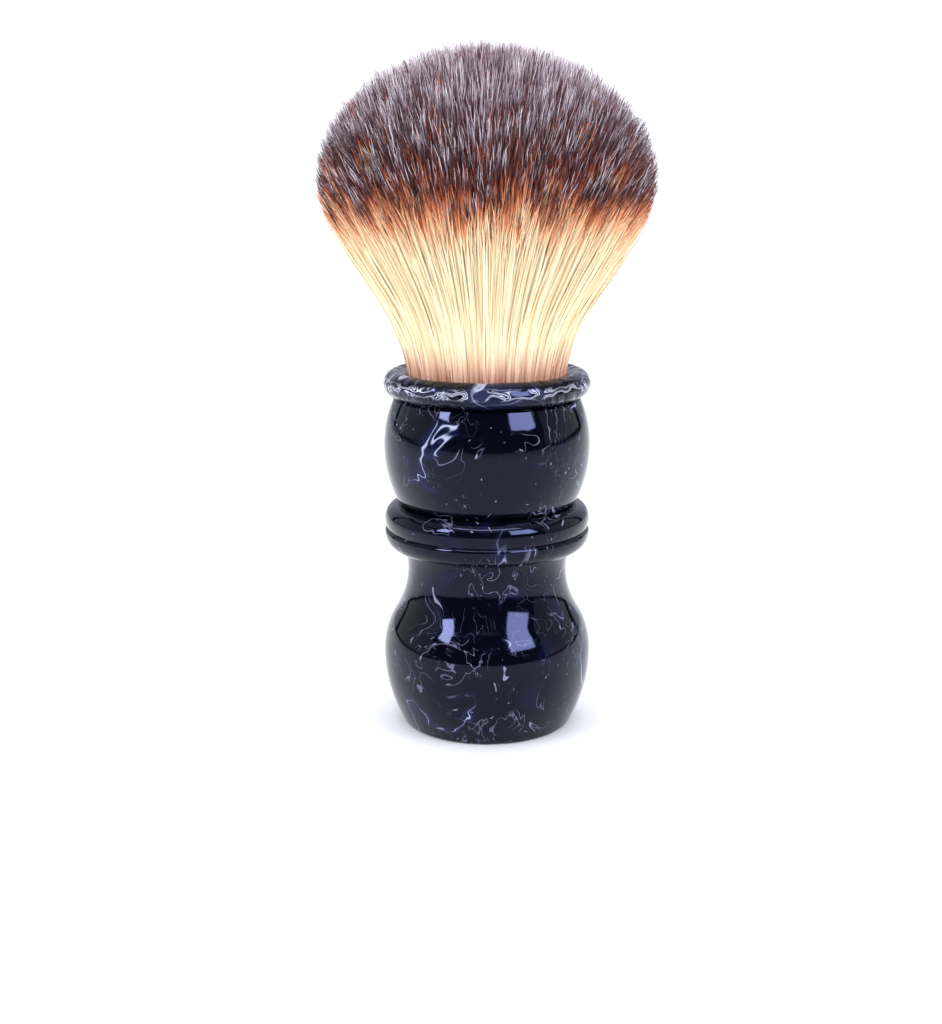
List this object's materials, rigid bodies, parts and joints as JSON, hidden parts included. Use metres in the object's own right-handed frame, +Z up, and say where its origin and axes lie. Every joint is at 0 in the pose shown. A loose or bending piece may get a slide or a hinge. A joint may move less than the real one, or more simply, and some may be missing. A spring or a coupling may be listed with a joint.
{
  "type": "shaving brush",
  "caption": "Shaving brush with a turned marbled resin handle and a domed synthetic fibre knot that bends elastically.",
  "frame": {"origin": "centre of the handle's flat base", "axes": "+Z up the brush's axis, from the base to the fibre tips; the brush is round about it, so +X and +Y are free"},
  "size_m": [0.0596, 0.0596, 0.1191],
  "materials": {
    "resin": "polished",
    "epoxy": "satin",
    "ring_plastic": "satin",
    "potting_resin": "satin",
    "thread": "matte",
    "fibre": "satin"
  },
  "bodies": {
    "handle": {"handle": "resin", "epoxy_bed": "epoxy", "knot_ring": "ring_plastic", "glue_plug": "potting_resin", "binding_thread": "thread", "fibre_roots": "fibre"},
    "fibre_shafts": {"fibre_shafts": "fibre"},
    "fibre_tips": {"fibre_tips": "fibre"}
  },
  "joints": [
    {"name": "fibre_flex_x", "type": "hinge", "parent": "handle", "child": "fibre_shafts", "pos_m": [0, 0, 0.06265], "axis": [1, 0, 0], "range_deg": [-25, 25], "stiffness_Nm_per_rad": 0.25},
    {"name": "fibre_flex_y", "type": "hinge", "parent": "fibre_shafts", "child": "fibre_tips", "pos_m": [0, 0, 0.07465], "axis": [0, 1, 0], "range_deg": [-20, 20], "stiffness_Nm_per_rad": 0.25}
  ]
}
